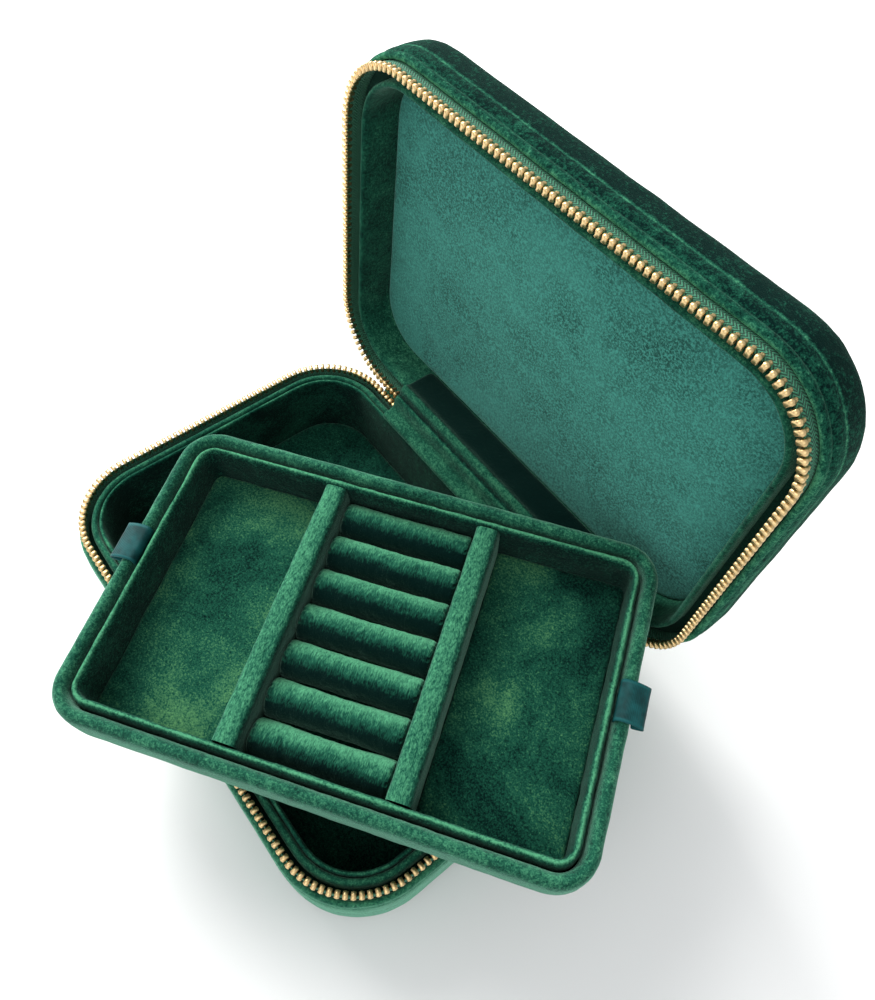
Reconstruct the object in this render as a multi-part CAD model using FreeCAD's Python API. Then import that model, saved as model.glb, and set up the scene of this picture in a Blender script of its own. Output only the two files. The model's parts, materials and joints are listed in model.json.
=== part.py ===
import FreeCAD, Part

import math
import os

"""Travel jewelry case with a zipped lid and a lift-out tray. Millimetres.

Origin: centre of the underside. +Z up, +Y towards the hinge, X along the hinge.
The lid and its pieces are drawn closed, then turned open about the hinge axis.
The tray is drawn flat about its own centre, then laid across the open case.
"""

V = FreeCAD.Vector
X_AXIS = V(1, 0, 0)
Z_AXIS = V(0, 0, 1)

# ---- driving dimensions ---------------------------------------------------------
CASE_X = 176.0              # outside length, along the hinge
CASE_Y = 124.0              # outside width
CASE_R = 27.6               # outside corner radius in plan
SEAM_Z = 34.0               # height of the zip's meeting plane
LID_DEPTH = 21.8            # meeting plane to the lid's outer face
EDGE_R = 4.0                # rounding of the bottom and top outer edges
SKIN = 2.0                  # padded skin under the base and over the lid
TAPE_SHOW = 5.0             # meeting plane to the edge of each padded wall

TEETH_INSET = 2.7           # tooth row centre line inside the outer face
TAPE_T = 0.9
TAPE_GLUED = 3.0            # tape width hidden behind the wall
TOOTH_PITCH = 2.23
TOOTH_W = 1.4               # along the chain
TOOTH_HALF = 1.0            # half thickness across the tape
TOOTH_H = 3.4
SEAM_GAP = 0.15             # tooth tip to the meeting plane
ZIP_END_X = 48.7            # both ends of the chain, either side of the hinge

HINGE_OUT = 1.1             # hinge axis outside the tooth row
OPEN_ANGLE = 93.6           # lid open against its stop, from closed

BOARD_T = 2.0
PAD_T = 3.0
RIM_DROP = 2.0              # liner rims stand this far under the meeting plane
LID_LIP_DROP = 1.2          # the lid's lip stands this much lower, clear of the tray
LINER_OUT_INSET = 4.9       # from the outer face
LINER_IN_INSET = 7.4
LINER_T = 1.7
CAVITY_R = 17.5             # corner radius of the two cavities
LIP_R = 0.6                 # rounding of the thin inner lips
PIPING_H = 1.4

TRAY_X = 155.6
TRAY_Y = 99.2
TRAY_R = 11.5
TRAY_H = 21.2
TRAY_WALL = 4.2
TRAY_GROOVE = 0.4
TRAY_LINER_T = 3.0
TRAY_YAW = 34.2             # turned across the case
TRAY_TILT = 4.25            # back edge up, on the hinge
TRAY_AT = V(27.8, -7.0, SEAM_Z + 4.6)
DIVIDER_AT = 25.0
DIVIDER_T = 7.5
DIVIDER_H = 20.0
ROLL_COUNT = 7
ROLL_PITCH = 12.0
ROLL_H = 10.5
RIBBON_W = 12.0
RIBBON_T = 0.3
RIBBON_AT = {"ribbon_tab_left": (-1, 4.5), "ribbon_tab_right": (1, 1.5)}

SLIDER_X = (49.4, 57.4)     # parked against the stop at the right end
PULL_BAR = V(0, 63.9, 30.3)  # axis the pull hangs from
PULL_LENGTH = 22.0

# ---- worked-out sizes -----------------------------------------------------------
HALF_X = CASE_X / 2
HALF_Y = CASE_Y / 2
WALL_T = TEETH_INSET - TAPE_T / 2
WALL_TOP = SEAM_Z - TAPE_SHOW
TAPE_LOW = WALL_TOP - TAPE_GLUED
TEETH_Y = HALF_Y - TEETH_INSET
HINGE_Y = TEETH_Y + HINGE_OUT
HINGE = V(0, HINGE_Y, SEAM_Z)
FLOOR_Z = SKIN + BOARD_T
CAVITY_INSET = LINER_IN_INSET + LINER_T
RIM_Z = SEAM_Z - RIM_DROP
TRAY_FLOOR = 3.5            # top of the tray's bottom board
TRAY_PAD = 5.5              # top of its velvet floor


# ---- general helpers --------------------------------------------------------------
def outline(half_x, half_y, radius, z):
    """Rounded rectangle about the Z axis, as one closed wire."""
    dx = half_x - radius
    dy = half_y - radius
    centres = [(dx, dy, 0), (-dx, dy, 90), (-dx, -dy, 180), (dx, -dy, 270)]
    arcs = []
    for cx, cy, start in centres:
        points = []
        for turn in (start, start + 45, start + 90):
            angle = math.radians(turn)
            points.append(V(cx + radius * math.cos(angle), cy + radius * math.sin(angle), z))
        arcs.append(points)
    edges = []
    for i, points in enumerate(arcs):
        edges.append(Part.Arc(*points).toShape())
        edges.append(Part.LineSegment(points[2], arcs[(i + 1) % 4][0]).toShape())
    return Part.Wire(edges)


def slab(half_x, half_y, radius, z0, z1):
    """Solid rounded rectangle from z0 to z1."""
    return Part.Face(outline(half_x, half_y, radius, z0)).extrude(V(0, 0, z1 - z0))


def case_slab(inset, z0, z1):
    """Slab that follows the case's outline, inset from its outer face."""
    return slab(HALF_X - inset, HALF_Y - inset, CASE_R - inset, z0, z1)


def case_ring(outer_inset, inner_inset, z0, z1):
    return case_slab(outer_inset, z0, z1).cut(case_slab(inner_inset, z0, z1))


def cavity_slab(z0, z1):
    """The clear space inside the inner liner of either half."""
    return slab(HALF_X - CAVITY_INSET, HALF_Y - CAVITY_INSET, CAVITY_R, z0, z1)


def tray_slab(inset, z0, z1):
    return slab(TRAY_X / 2 - inset, TRAY_Y / 2 - inset, TRAY_R - inset, z0, z1)


def box(x0, x1, y0, y1, z0, z1):
    return Part.makeBox(x1 - x0, y1 - y0, z1 - z0, V(x0, y0, z0))


def round_edges_at(shape, z, radius):
    """Round every edge that lies flat at height z."""
    flat = []
    for edge in shape.Edges:
        bounds = edge.BoundBox
        if abs(bounds.ZMin - z) < 1e-6 and abs(bounds.ZMax - z) < 1e-6:
            flat.append(edge)
    return shape.makeFillet(radius, flat)


def round_outer_edges_at(shape, z, radius, reach):
    """Round the flat edges at height z whose loop reaches out to the half length given."""
    flat = []
    for edge in shape.Edges:
        bounds = edge.BoundBox
        level = abs(bounds.ZMin - z) < 1e-6 and abs(bounds.ZMax - z) < 1e-6
        if level and on_outline(edge, reach):
            flat.append(edge)
    return shape.makeFillet(radius, flat)


def on_outline(edge, reach):
    """True for an edge of the outermost loop of a tub."""
    half_x, half_y, radius = reach
    middle = edge.valueAt((edge.FirstParameter + edge.LastParameter) / 2)
    dx = max(abs(middle.x) - (half_x - radius), 0)
    dy = max(abs(middle.y) - (half_y - radius), 0)
    return abs(math.hypot(dx, dy) - radius) < 1e-3


def extrude_section(points, x0, x1):
    """Closed outline in the YZ plane, extruded along X from x0 to x1."""
    corners = [V(x0, y, z) for y, z in points]
    face = Part.Face(Part.makePolygon(corners + corners[:1]))
    return face.extrude(V(x1 - x0, 0, 0))


def strip_section(path, thickness):
    """Outline of a strip of even thickness about an open path in the YZ plane."""
    left = []
    right = []
    for i, (y, z) in enumerate(path):
        before = path[max(i - 1, 0)]
        after = path[min(i + 1, len(path) - 1)]
        ty = after[0] - before[0]
        tz = after[1] - before[1]
        scale = thickness / 2 / math.hypot(ty, tz)
        left.append((y - tz * scale, z + ty * scale))
        right.append((y + tz * scale, z - ty * scale))
    return left + right[::-1]


def flip_to_lid(shape):
    """Mirror a closed-seam base piece up into the lid."""
    return shape.mirror(V(0, 0, SEAM_Z), Z_AXIS)


def save(name, shape, seat=None):
    """Seat the finished shape and write its node file."""
    placed = seat(shape) if seat else shape
    if not placed.isValid():
        raise ValueError(name + " is not a valid solid")
    placed.exportStep("parts/" + name + ".step")
    print(name, len(placed.Solids), round(placed.Volume, 1))


def seat_lid(shape):
    """Turn a closed lid piece to the open rest position."""
    return shape.rotated(HINGE, X_AXIS, -OPEN_ANGLE)


def seat_tray(shape):
    """Lay a tray piece across the open case."""
    turned = shape.rotated(V(0, 0, 0), Z_AXIS, TRAY_YAW).rotated(V(0, 0, 0), X_AXIS, TRAY_TILT)
    return turned.translated(TRAY_AT)


# ---- zip ----------------------------------------------------------------------------
def tooth_line_length():
    straight_x = 2 * (HALF_X - CASE_R)
    straight_y = 2 * (HALF_Y - CASE_R)
    arc = math.pi * (CASE_R - TEETH_INSET) / 2
    rear = straight_x / 2 - ZIP_END_X
    return 2 * rear + straight_x + 2 * straight_y + 4 * arc


def tooth_place(distance):
    """Point and heading on the tooth row, measured from its left rear end."""
    radius = CASE_R - TEETH_INSET
    arc = math.pi * radius / 2
    dx = HALF_X - CASE_R
    dy = HALF_Y - CASE_R
    legs = [dx - ZIP_END_X, 2 * dy, 2 * dx, 2 * dy, dx - ZIP_END_X]
    starts = [(-ZIP_END_X, dy + radius), (-dx - radius, dy), (-dx, -dy - radius),
              (dx + radius, -dy), (dx, dy + radius)]
    centres = [(-dx, dy), (-dx, -dy), (dx, -dy), (dx, dy)]
    for i, leg in enumerate(legs):
        heading = math.radians(180 + 90 * i)
        if distance <= leg or i == len(legs) - 1:
            x = starts[i][0] + distance * math.cos(heading)
            y = starts[i][1] + distance * math.sin(heading)
            return x, y, heading
        distance -= leg
        if distance <= arc:
            turned = distance / radius
            angle = heading - math.pi / 2 + turned
            x = centres[i][0] + radius * math.cos(angle)
            y = centres[i][1] + radius * math.sin(angle)
            return x, y, heading + turned
        distance -= arc


def one_tooth():
    """One tooth with its tip at the origin's height and its legs astride the tape."""
    leg = TOOTH_HALF - 0.2
    slot = TAPE_T / 2
    crown = TOOTH_HALF - 0.45
    half_section = [(crown, -SEAM_GAP), (TOOTH_HALF, -SEAM_GAP - 0.5), (TOOTH_HALF, -2.0),
                    (leg, -2.3), (leg, -TOOTH_H), (slot, -TOOTH_H), (slot, -1.6)]
    mirrored = [(-y, z) for y, z in half_section[::-1]]
    return extrude_section(half_section + mirrored, -TOOTH_W / 2, TOOTH_W / 2)


def tooth_row(start, end):
    """Separate equal teeth, evenly spaced along the row."""
    tooth = one_tooth()
    count = int((end - start) / TOOTH_PITCH)
    teeth = []
    for i in range(count):
        x, y, heading = tooth_place(start + (i + 0.5) * TOOTH_PITCH)
        turned = tooth.rotated(V(0, 0, 0), Z_AXIS, math.degrees(heading))
        teeth.append(turned.translated(V(x, y, SEAM_Z)))
    return Part.makeCompound(teeth)


def zip_tape(right_end_x):
    """Woven tape standing up from behind the wall, open at the hinge."""
    ring = case_ring(WALL_T, WALL_T + TAPE_T, TAPE_LOW, SEAM_Z - 1.6)
    return ring.cut(box(-ZIP_END_X, right_end_x, 0, HALF_Y, 0, SEAM_Z))


def zip_stop(x):
    """Metal stop pinched over the tape beside the last tooth."""
    body = box(x - 0.8, x + 0.8, TEETH_Y - 1.0, TEETH_Y + 1.0, SEAM_Z - 4.0, SEAM_Z - 0.4)
    slot = box(x - 1, x + 1, TEETH_Y - TAPE_T / 2, TEETH_Y + TAPE_T / 2, SEAM_Z - 5, SEAM_Z - 1.6)
    return body.cut(slot)


def zip_slider():
    """Slider body on the base's tooth row, with the staple that carries the pull."""
    x0, x1 = SLIDER_X
    half = TOOTH_HALF + 0.85
    body = box(x0, x1, TEETH_Y - half, TEETH_Y + half, SEAM_Z - 4.2, SEAM_Z + 3.0)
    body = body.makeFillet(0.6, body.Edges)
    slot = TOOTH_HALF + 0.15
    body = body.cut(box(x0 - 1, x1 + 1, TEETH_Y - slot, TEETH_Y + slot, SEAM_Z - 6, SEAM_Z + 0.4))
    outer = TEETH_Y + half
    for x in (x0 + 0.8, x1 - 2.0):
        leg = box(x, x + 1.2, outer - 0.5, PULL_BAR.y, PULL_BAR.z - 0.6, PULL_BAR.z + 0.6)
        body = body.fuse(leg)
    bar = Part.makeCylinder(0.6, x1 - x0 - 1.6, V(x0 + 0.8, PULL_BAR.y, PULL_BAR.z), X_AXIS)
    return body.fuse(bar).removeSplitter()


def zip_pull_tab():
    """Flat pull that hangs from the slider's bar by a rolled eye."""
    middle = (SLIDER_X[0] + SLIDER_X[1]) / 2
    eye_start = V(middle - 1.9, PULL_BAR.y, PULL_BAR.z)
    eye = Part.makeCylinder(1.35, 3.8, eye_start, X_AXIS)
    low = PULL_BAR.z - PULL_LENGTH
    blade = box(middle - 1.9, middle + 1.9, PULL_BAR.y - 0.6, PULL_BAR.y + 0.6, low + 6, PULL_BAR.z)
    disc = Part.makeCylinder(3.6, 1.2, V(middle, PULL_BAR.y - 0.6, low + 3.6), V(0, 1, 0))
    hole = Part.makeCylinder(1.5, 3.0, V(middle, PULL_BAR.y - 1.5, low + 3.6), V(0, 1, 0))
    bore = Part.makeCylinder(0.75, 6.0, V(middle - 3.0, PULL_BAR.y, PULL_BAR.z), X_AXIS)
    return eye.fuse(blade).fuse(disc).cut(hole).cut(bore).removeSplitter()


# ---- case halves ----------------------------------------------------------------------
def half_shell(depth):
    """Padded tub of one half, from its outer face up to the edge beside the tape."""
    outer = case_slab(0, SEAM_Z - depth, WALL_TOP)
    inner = case_slab(WALL_T, SEAM_Z - depth + SKIN, WALL_TOP)
    tub = outer.cut(inner)
    return round_outer_edges_at(tub, SEAM_Z - depth, EDGE_R, (HALF_X, HALF_Y, CASE_R))


def piping():
    """Soft bead along the wall's edge, stopping at the rear corners."""
    bead = round_edges_at(case_ring(0, WALL_T, WALL_TOP, WALL_TOP + PIPING_H), WALL_TOP + PIPING_H, 0.9)
    rear = HALF_X - CASE_R
    return bead.cut(box(-rear, rear, 0, HALF_Y + 1, 0, SEAM_Z))


def make_base():
    save("base_shell", half_shell(SEAM_Z))
    save("base_floor_board", case_slab(WALL_T, SKIN, FLOOR_Z))
    save("base_wall_board", case_ring(WALL_T, LINER_OUT_INSET, FLOOR_Z, TAPE_LOW))
    outer = case_ring(LINER_OUT_INSET, LINER_IN_INSET, FLOOR_Z, RIM_Z)
    save("base_liner_outer", round_edges_at(outer, RIM_Z, 1.15))
    low_rim = RIM_Z - 0.2
    inner = case_slab(LINER_IN_INSET, FLOOR_Z, low_rim).cut(cavity_slab(FLOOR_Z, low_rim))
    save("base_liner_inner", round_edges_at(inner, low_rim, LIP_R))
    save("base_floor_pad", round_edges_at(cavity_slab(FLOOR_Z, FLOOR_Z + PAD_T), FLOOR_Z + PAD_T, 1.0))
    save("base_piping", piping())
    save("base_zip_tape", zip_tape(ZIP_END_X))
    save("base_zip_teeth", tooth_row(0, tooth_line_length()))
    stops = [zip_stop(-ZIP_END_X + 1.0), zip_stop(ZIP_END_X - 1.0)]
    save("base_zip_stops", Part.makeCompound(stops))


def make_lid():
    """Each piece is drawn as if it were a base piece, then mirrored up and opened."""
    def seat(shape):
        return seat_lid(flip_to_lid(shape))

    outer_face = SEAM_Z - LID_DEPTH
    board_low = outer_face + SKIN
    lining_low = board_low + BOARD_T
    rear_right = HALF_X - CASE_R
    save("lid_shell", half_shell(LID_DEPTH), seat)
    save("lid_top_board", case_slab(WALL_T, board_low, lining_low), seat)
    save("lid_wall_board", case_ring(WALL_T, LINER_IN_INSET - 0.5, lining_low, TAPE_LOW), seat)
    lip_top = RIM_Z - LID_LIP_DROP
    lip = case_slab(LINER_IN_INSET - 0.5, lining_low, lip_top).cut(cavity_slab(lining_low, lip_top))
    save("lid_liner", round_edges_at(lip, lip_top, LIP_R), seat)
    save("lid_lining_panel", cavity_slab(lining_low, lining_low + 2.0), seat)
    save("lid_piping", piping(), seat)
    save("lid_zip_tape", zip_tape(rear_right), seat)
    chain_end = tooth_line_length() - (rear_right - ZIP_END_X)
    save("lid_zip_teeth", tooth_row(0, chain_end), seat)
    save("lid_zip_stop", zip_stop(-ZIP_END_X + 1.0), seat)


def make_hinge():
    """Fabric that joins the halves: a spine outside and a lining inside."""
    reach = ZIP_END_X - 2.2
    spine = [(TEETH_Y, TAPE_LOW), (TEETH_Y, SEAM_Z - 1.2), (TEETH_Y + 0.4, SEAM_Z + 0.5),
             (HINGE_Y + 0.9, SEAM_Z + 1.2), (HINGE_Y + 7.4, SEAM_Z + 0.9)]
    save("hinge_spine", extrude_section(strip_section(spine, 0.55), -reach, reach))
    rim_top = RIM_Z + 0.5
    lining = [(HALF_Y - CAVITY_INSET + 0.3, rim_top), (HALF_Y - LINER_OUT_INSET, rim_top),
              (TEETH_Y - 0.9, SEAM_Z + 1.6), (HINGE_Y + 1.6, SEAM_Z + 7.7),
              (HINGE_Y + 3.0, SEAM_Z + 8.1), (HINGE_Y + 14.6, SEAM_Z + 7.4)]
    save("hinge_lining", extrude_section(strip_section(lining, 0.8), -ZIP_END_X, ZIP_END_X))


# ---- tray -----------------------------------------------------------------------------
def tray_shell():
    """Padded outer tub of the tray with a full, rounded rim."""
    tub = tray_slab(0, 0, TRAY_H).cut(tray_slab(TRAY_WALL, SKIN, TRAY_H))
    tub = round_edges_at(tub, TRAY_H, 2.0)
    return round_outer_edges_at(tub, 0, EDGE_R, (TRAY_X / 2, TRAY_Y / 2, TRAY_R))


def tray_inner_liner():
    """Thin inner wall whose lip stands just inside the outer rim."""
    start = TRAY_WALL + TRAY_GROOVE
    top = TRAY_H - 0.5
    ring = tray_slab(start, TRAY_FLOOR, top).cut(tray_slab(start + TRAY_LINER_T, TRAY_FLOOR, top))
    return round_edges_at(ring, top, 1.4)


def tray_pad(x0, x1):
    """Velvet floor pad between two stations along the tray."""
    inner = tray_slab(TRAY_WALL + TRAY_GROOVE + TRAY_LINER_T, TRAY_FLOOR, TRAY_PAD)
    return inner.common(box(x0, x1, -TRAY_Y, TRAY_Y, TRAY_FLOOR, TRAY_PAD))


def divider(x):
    """Padded bar across the tray, round on top."""
    half_y = TRAY_Y / 2 - (TRAY_WALL + TRAY_GROOVE + TRAY_LINER_T)
    bar = box(x - DIVIDER_T / 2, x + DIVIDER_T / 2, -half_y, half_y, TRAY_FLOOR, DIVIDER_H)
    tops = []
    for edge in bar.Edges:
        bounds = edge.BoundBox
        if bounds.ZMin > DIVIDER_H - 0.01 and bounds.YLength > half_y:
            tops.append(edge)
    return bar.makeFillet(3.4, tops)


def ring_roll(y):
    """One soft roll between the dividers; rings are pushed in between two rolls."""
    half_x = DIVIDER_AT - DIVIDER_T / 2
    half_y = ROLL_PITCH / 2 - 0.05
    roll = box(-half_x, half_x, y - half_y, y + half_y, TRAY_PAD, TRAY_PAD + ROLL_H)
    tops = []
    for edge in roll.Edges:
        bounds = edge.BoundBox
        if bounds.ZMin > TRAY_PAD + ROLL_H - 0.01 and bounds.XLength > half_x:
            tops.append(edge)
    return roll.makeFillet(5.4, tops)


def ribbon_tab(side, y):
    """Folded ribbon loop from the groove, over the rim and out past the wall."""
    start = TRAY_X / 2 - TRAY_WALL - TRAY_GROOVE / 2
    edge = TRAY_X / 2
    path = [(start, TRAY_H - 3.0), (start, TRAY_H - 1.6), (start + 0.2, TRAY_H - 0.4),
            (start + 1.0, TRAY_H + 0.5), (edge - 0.8, TRAY_H + 0.5), (edge + 4.0, TRAY_H - 1.4),
            (edge + 4.8, TRAY_H - 2.4), (edge + 4.0, TRAY_H - 3.4), (edge + 0.5, TRAY_H - 3.2)]
    strip = extrude_section(strip_section(path, RIBBON_T), -RIBBON_W / 2, RIBBON_W / 2)
    heading = -90 if side > 0 else 90
    return strip.rotated(V(0, 0, 0), Z_AXIS, heading).translated(V(0, y, 0))


def make_tray():
    save("tray_shell", tray_shell(), seat_tray)
    save("tray_bottom_board", tray_slab(TRAY_WALL, SKIN, TRAY_FLOOR), seat_tray)
    save("tray_inner_liner", tray_inner_liner(), seat_tray)
    near = DIVIDER_AT - DIVIDER_T / 2
    far = DIVIDER_AT + DIVIDER_T / 2
    save("tray_floor_left", tray_pad(-TRAY_X, -far), seat_tray)
    save("tray_floor_right", tray_pad(far, TRAY_X), seat_tray)
    save("ring_bed_pad", tray_pad(-near, near), seat_tray)
    save("divider_left", divider(-DIVIDER_AT), seat_tray)
    save("divider_right", divider(DIVIDER_AT), seat_tray)
    for i in range(ROLL_COUNT):
        y = (ROLL_COUNT - 1) / 2 * ROLL_PITCH - i * ROLL_PITCH
        save("ring_roll_" + str(i + 1), ring_roll(y), seat_tray)
    for name, (side, y) in RIBBON_AT.items():
        save(name, ribbon_tab(side, y), seat_tray)


def main():
    os.makedirs("parts", exist_ok=True)
    make_base()
    make_hinge()
    save("zip_slider", zip_slider())
    save("zip_pull_tab", zip_pull_tab())
    make_lid()
    make_tray()


main()
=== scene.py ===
import json
import math

import bpy
from mathutils import Matrix, Vector


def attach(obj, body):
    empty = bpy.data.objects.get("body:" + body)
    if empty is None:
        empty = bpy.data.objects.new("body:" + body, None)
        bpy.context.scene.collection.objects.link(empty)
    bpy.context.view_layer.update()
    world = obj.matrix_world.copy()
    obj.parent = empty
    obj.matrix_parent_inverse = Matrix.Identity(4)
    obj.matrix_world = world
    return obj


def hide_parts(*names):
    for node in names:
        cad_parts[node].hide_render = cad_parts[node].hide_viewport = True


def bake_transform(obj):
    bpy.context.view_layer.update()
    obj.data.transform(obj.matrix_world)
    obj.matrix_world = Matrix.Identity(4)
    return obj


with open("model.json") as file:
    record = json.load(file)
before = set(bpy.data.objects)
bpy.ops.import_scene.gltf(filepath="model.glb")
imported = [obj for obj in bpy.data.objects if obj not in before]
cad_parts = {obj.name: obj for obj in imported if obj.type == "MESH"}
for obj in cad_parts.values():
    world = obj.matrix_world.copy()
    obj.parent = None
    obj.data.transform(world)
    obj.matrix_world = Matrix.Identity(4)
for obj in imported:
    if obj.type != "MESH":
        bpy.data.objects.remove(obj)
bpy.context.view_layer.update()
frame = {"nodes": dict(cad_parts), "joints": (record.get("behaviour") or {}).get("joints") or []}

bl_info = {
    "name": "Velvet Jewelry Case",
    "version": (1, 0, 0),
    "blender": (4, 5, 0),
    "location": "3D View > Sidebar > Jewelry Case",
    "description": "Builds a zipped velvet travel jewelry case with a lift-out tray",
    "category": "Add Mesh",
}

MM = 0.001

# the case's outline, shared by base and lid
HALF_X = 88.0
HALF_Y = 62.0
CORNER_R = 27.6
CORNER_X = HALF_X - CORNER_R
CORNER_Y = HALF_Y - CORNER_R
SEAM_Z = 34.0
BASE_DEPTH = 34.0
LID_DEPTH = 21.8
LID_LINING_DEPTH = 15.8
TEETH_INSET = 2.7
ZIP_END_X = 48.7

# the tray, in its own frame with its origin at the bottom's centre
TRAY_X = 77.8
TRAY_Y = 49.6
TRAY_R = 11.5
TRAY_YAW = math.radians(34.2)
TRAY_TILT = math.radians(4.25)
TRAY_AT = Vector((27.8, -7.0, 38.6)) * MM
ROLL_PITCH = 12.0
ROLL_COUNT = 7

UP = (0, 0, 1)
ROLL_PAINTED_LIGHT_DIR = (-0.45, 0.62, 0.64)   # painted light: rolls are painted brighter on faces that point this way and darker on faces that point away

STRAIGHT_STEP = 5.5
TRAY_STEP = 4.5
STRIP_STEPS = 26
CORNER_STEPS = 12
NEAR = 0.02   # points closer than this are at the same place

# the camera, in metres and degrees
CAMERA_AT = (0.1088, -0.0564, 0.2752)
CAMERA_TURN = (32.36, -2.42, 52.06)
CAMERA_LENS = 29.18

HINGE_JOINT = next(j for j in frame["joints"] if j["name"] == "lid_hinge")
HINGE = Vector(HINGE_JOINT["pos_m"])
OPEN_ANGLE = math.radians(HINGE_JOINT["range_deg"][1])
SEAT_LID = Matrix.Translation(HINGE) @ Matrix.Rotation(-OPEN_ANGLE, 4, "X") @ Matrix.Translation(-HINGE)
SEAT_TRAY = (Matrix.Translation(TRAY_AT) @ Matrix.Rotation(TRAY_TILT, 4, "X")
             @ Matrix.Rotation(TRAY_YAW, 4, "Z"))


# ---- modelling helpers ----------------------------------------------------------------
def clear_selection():
    """Leave every object deselected, in object mode."""
    if bpy.context.object and bpy.context.object.mode != "OBJECT":
        bpy.ops.object.mode_set(mode="OBJECT")
    bpy.ops.object.select_all(action="DESELECT")


def pick(piece):
    """Make one piece the only selected and active object."""
    clear_selection()
    piece.select_set(True)
    bpy.context.view_layer.objects.active = piece


def draw_section(name, points, x=0.0):
    """Draw a chain of edges at x through (y, z) points, in millimetres, and leave it in edit mode."""
    clear_selection()
    bpy.ops.mesh.primitive_plane_add(size=MM, location=(0, 0, 0))
    piece = bpy.context.object
    piece.name = name
    piece.data.name = name
    bpy.ops.object.mode_set(mode="EDIT")
    bpy.ops.mesh.select_mode(type="VERT")
    bpy.ops.mesh.select_all(action="SELECT")
    bpy.ops.mesh.merge(type="CENTER")
    y, z = points[0]
    bpy.ops.transform.translate(value=(x * MM, y * MM, z * MM))
    for before, after in zip(points, points[1:]):
        move = (0, (after[0] - before[0]) * MM, (after[1] - before[1]) * MM)
        bpy.ops.mesh.extrude_vertices_move(TRANSFORM_OT_translate={"value": move})
    bpy.ops.mesh.select_all(action="SELECT")
    if points[0] == points[-1]:
        bpy.ops.mesh.remove_doubles(threshold=0.01 * MM)
    return piece


def run_straight(along_x, along_y, length, step=STRAIGHT_STEP):
    """Extrude the selected section in a straight line, in even steps."""
    count = max(1, round(length / step))
    share = length / count * MM
    for _ in range(count):
        bpy.ops.mesh.extrude_region_move(
            TRANSFORM_OT_translate={"value": (along_x * share, along_y * share, 0)})


def turn_corner(x, y):
    """Carry the selected section a quarter turn round a corner's centre."""
    bpy.ops.mesh.spin(steps=CORNER_STEPS, angle=-math.pi / 2, center=(x * MM, y * MM, 0), axis=(0, 0, 1))


def sweep_outline(start_x, end_x, corner_x, corner_y, step=STRAIGHT_STEP):
    """Carry a section from the rear's start_x round all four corners to end_x."""
    run_straight(-1, 0, corner_x + start_x, step)
    turn_corner(-corner_x, corner_y)
    run_straight(0, -1, 2 * corner_y, step)
    turn_corner(-corner_x, -corner_y)
    run_straight(1, 0, 2 * corner_x, step)
    turn_corner(corner_x, -corner_y)
    run_straight(0, 1, 2 * corner_y, step)
    turn_corner(corner_x, corner_y)
    run_straight(-1, 0, corner_x - end_x, step)


def tidy_faces(piece):
    """Merge what meets, point every face outwards, and go back to object mode."""
    pick(piece)
    bpy.ops.object.mode_set(mode="EDIT")
    bpy.ops.mesh.select_all(action="SELECT")
    bpy.ops.mesh.remove_doubles(threshold=0.01 * MM)
    bpy.ops.mesh.normals_make_consistent(inside=False)
    bpy.ops.object.mode_set(mode="OBJECT")


def select_where(piece, test):
    """Select the vertices whose place passes the test, in edit mode."""
    pick(piece)
    bpy.ops.object.mode_set(mode="EDIT")
    bpy.ops.mesh.select_mode(type="VERT")
    bpy.ops.mesh.select_all(action="DESELECT")
    bpy.ops.object.mode_set(mode="OBJECT")
    for vertex in piece.data.vertices:
        vertex.select = bool(test(vertex.co))
    bpy.ops.object.mode_set(mode="EDIT")


def close_loop(piece, z, insets, shares=(0.8, 0.72, 0.6, 0.4), rise=0.0):
    """Fill the open loop at height z: even insets first, then rings that shrink towards the middle."""
    select_where(piece, lambda at: abs(at.z - z * MM) < NEAR * MM)
    bpy.ops.mesh.edge_face_add()
    for thickness in insets:
        bpy.ops.mesh.inset(thickness=thickness * MM)
    for share in shares:
        bpy.ops.mesh.extrude_region_move(TRANSFORM_OT_translate={"value": (0, 0, rise * MM)})
        bpy.ops.transform.resize(value=(share, share, 1), center_override=(0, 0, z * MM))
        rise *= 0.5
    bpy.ops.object.mode_set(mode="OBJECT")


def apply_modifier(piece, modifier):
    pick(piece)
    bpy.ops.object.modifier_apply(modifier=modifier.name)


def subdivide(piece):
    soft = piece.modifiers.new("soft", "SUBSURF")
    soft.levels = 1
    soft.render_levels = 1
    soft.use_limit_surface = False
    apply_modifier(piece, soft)


def thicken(piece, thickness):
    """Turn a drawn cloth surface into a sheet, half of its thickness on each side."""
    cloth = piece.modifiers.new("cloth", "SOLIDIFY")
    cloth.thickness = thickness * MM
    cloth.offset = 0
    apply_modifier(piece, cloth)


def ruffle(piece, size, depth):
    """Push the surface in and out a little, as padding under cloth does."""
    clouds = bpy.data.textures.new("ruffle", "CLOUDS")
    clouds.noise_scale = size * MM
    clouds.noise_depth = 2
    waves = piece.modifiers.new("waves", "DISPLACE")
    waves.texture = clouds
    waves.texture_coords = "LOCAL"
    waves.strength = depth * MM
    waves.mid_level = 0.5
    apply_modifier(piece, waves)


def smooth(piece):
    pick(piece)
    bpy.ops.object.shade_smooth()


def place(piece, matrix):
    """Move a piece by a matrix and keep its object at the origin."""
    piece.matrix_world = matrix
    pick(piece)
    bpy.ops.object.transform_apply(location=True, rotation=True, scale=True)


def copy_piece(piece, name, matrix):
    """Duplicate a piece with its own mesh, moved by a matrix."""
    copy = piece.copy()
    copy.data = piece.data.copy()
    copy.name = name
    copy.data.name = name
    bpy.context.scene.collection.objects.link(copy)
    copy.data.transform(matrix)
    return copy


def join_pieces(pieces, name):
    clear_selection()
    for piece in pieces:
        piece.select_set(True)
    bpy.context.view_layer.objects.active = pieces[0]
    bpy.ops.object.join()
    joined = bpy.context.object
    joined.name = name
    joined.data.name = name
    return joined


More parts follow.
